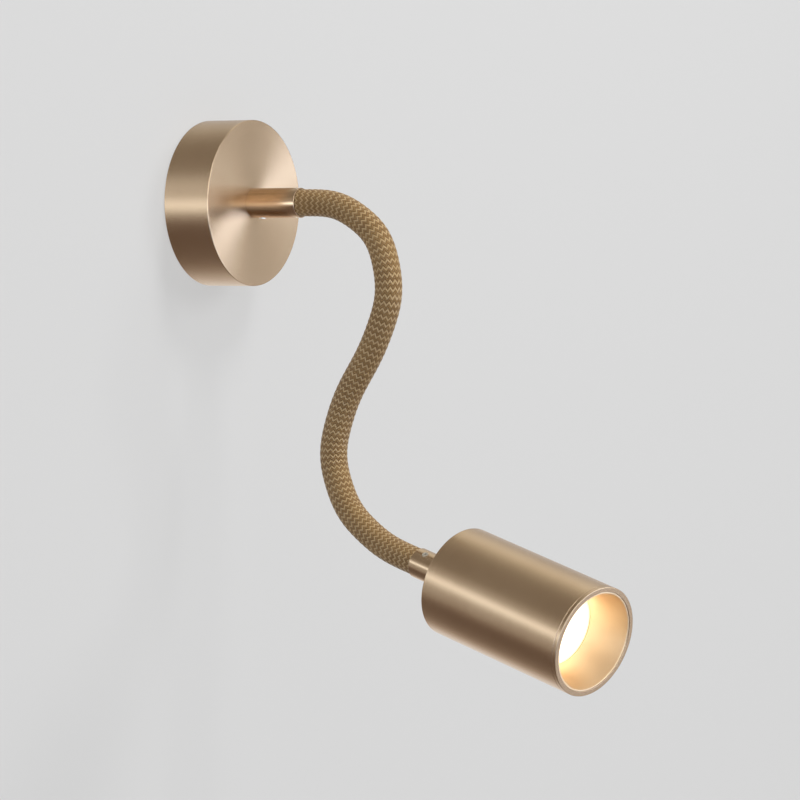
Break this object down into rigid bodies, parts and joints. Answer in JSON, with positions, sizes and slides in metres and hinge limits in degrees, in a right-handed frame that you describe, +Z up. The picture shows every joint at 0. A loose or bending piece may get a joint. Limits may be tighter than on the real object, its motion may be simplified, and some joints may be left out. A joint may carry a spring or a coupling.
{
  "type": "adjustable wall spotlight",
  "caption": "Wall spotlight: a round rose, a textile covered flexible arm in an S and a cylindrical lamp head with a conical reflector.",
  "frame": {"origin": "centre of the wall plate's back face, in the plane of the wall", "axes": "+Z up, +Y into the wall, +X to the right as seen from the room"},
  "size_m": [0.1056, 0.2397, 0.2619],
  "materials": {
    "bronze_brushed": "brushed",
    "bronze_turned": "satin",
    "bronze_tube": "satin",
    "reflector_bronze": "satin",
    "zinc": "zinc plated",
    "screw_steel": "polished",
    "pin_steel": "polished",
    "core_steel": "plain",
    "brass": "satin",
    "nylon": "matt",
    "porcelain": "glazed",
    "lens": "frosted",
    "textile": "woven",
    "cable_sheath": "matt",
    "lead_brown": "matt",
    "lead_blue": "matt",
    "lead_green": "matt"
  },
  "bodies": {
    "mount": {"rose_cover": "bronze_brushed", "wall_plate": "zinc", "cover_screws": "screw_steel", "terminal_block": "nylon", "terminal_screws": "brass", "earth_screw": "brass", "lead_live": "lead_brown", "lead_neutral": "lead_blue", "lead_earth": "lead_green", "wall_nipple": "zinc", "wall_nut": "brass", "wall_washer": "screw_steel", "wall_ferrule": "bronze_turned", "wall_grub_screw": "screw_steel", "arm_socket": "core_steel", "sleeve_1": "textile", "cable_1": "cable_sheath"},
    "arm_link_1": {"link_1": "core_steel", "sleeve_2": "textile", "cable_2": "cable_sheath"},
    "arm_link_2": {"link_2": "core_steel", "sleeve_3": "textile", "cable_3": "cable_sheath"},
    "arm_link_3": {"link_3": "core_steel", "sleeve_4": "textile", "cable_4": "cable_sheath"},
    "arm_link_4": {"link_4": "core_steel", "sleeve_5": "textile", "cable_5": "cable_sheath"},
    "arm_link_5": {"link_5": "core_steel", "sleeve_6": "textile", "cable_6": "cable_sheath"},
    "arm_link_6": {"link_6": "core_steel", "sleeve_7": "textile", "cable_7": "cable_sheath"},
    "arm_link_7": {"link_7": "core_steel", "sleeve_8": "textile", "cable_8": "cable_sheath"},
    "arm_link_8": {"link_8": "core_steel", "sleeve_9": "textile", "cable_9": "cable_sheath"},
    "head": {"arm_tail": "core_steel", "head_ferrule": "bronze_turned", "head_grub_screw": "screw_steel", "head_nipple": "zinc", "head_nut": "brass", "lamp_housing": "bronze_tube", "holder_bracket": "zinc", "lampholder": "porcelain", "holder_screws": "screw_steel", "head_lead_live": "lead_brown", "head_lead_neutral": "lead_blue", "lamp_body": "porcelain", "lamp_lens": "lens", "lamp_pins": "pin_steel"},
    "front_ring": {"front_ring": "bronze_tube", "reflector": "reflector_bronze"}
  },
  "joints": [
    {"name": "arm_bend_1", "type": "hinge", "parent": "mount", "child": "arm_link_1", "pos_m": [0, -0.06, 0], "axis": [-1, 0, 0], "range_deg": [-25, 40], "deforming": ["sleeve_1", "cable_1"]},
    {"name": "arm_swing_2", "type": "hinge", "parent": "arm_link_1", "child": "arm_link_2", "pos_m": [-0.00126, -0.08617, -0.00808], "axis": [-0.0237, -0.5292, 0.8481], "range_deg": [-35, 35], "deforming": ["sleeve_2", "cable_2"]},
    {"name": "arm_bend_3", "type": "hinge", "parent": "arm_link_2", "child": "arm_link_3", "pos_m": [-0.00355, -0.1015, -0.03017], "axis": [-0.9934, 0.1028, 0.0511], "range_deg": [-4, 40], "deforming": ["sleeve_3", "cable_3"]},
    {"name": "arm_bend_4", "type": "hinge", "parent": "arm_link_3", "child": "arm_link_4", "pos_m": [-0.0047, -0.09911, -0.05729], "axis": [-0.9934, 0.1028, 0.0511], "range_deg": [-12, 40], "deforming": ["sleeve_4", "cable_4"]},
    {"name": "arm_swing_5", "type": "hinge", "parent": "arm_link_4", "child": "arm_link_5", "pos_m": [-0.00484, -0.08577, -0.08182], "axis": [-0.1156, -0.8222, -0.5573], "range_deg": [-35, 35], "deforming": ["sleeve_5", "cable_5"]},
    {"name": "arm_bend_6", "type": "hinge", "parent": "arm_link_5", "child": "arm_link_6", "pos_m": [-0.00569, -0.07418, -0.1071], "axis": [0.9928, -0.0872, -0.0822], "range_deg": [-10, 40], "deforming": ["sleeve_6", "cable_6"]},
    {"name": "arm_bend_7", "type": "hinge", "parent": "arm_link_6", "child": "arm_link_7", "pos_m": [-0.00838, -0.07654, -0.13398], "axis": [0.9912, -0.0882, -0.0992], "range_deg": [-4, 40], "deforming": ["sleeve_7", "cable_7"]},
    {"name": "arm_swing_8", "type": "hinge", "parent": "arm_link_7", "child": "arm_link_8", "pos_m": [-0.01252, -0.0943, -0.15448], "axis": [0.0417, -0.5648, 0.8242], "range_deg": [-35, 35], "deforming": ["sleeve_8", "cable_8"]},
    {"name": "arm_bend_9", "type": "hinge", "parent": "arm_link_8", "child": "head", "pos_m": [-0.01752, -0.11927, -0.16568], "axis": [0.9767, -0.1566, -0.1469], "range_deg": [-25, 40], "deforming": ["sleeve_9", "cable_9"]},
    {"name": "front_ring_pull", "type": "slide", "parent": "head", "child": "front_ring", "axis": [-0.1912, -0.9455, -0.2635], "range_m": [0, 0.03]}
  ]
}
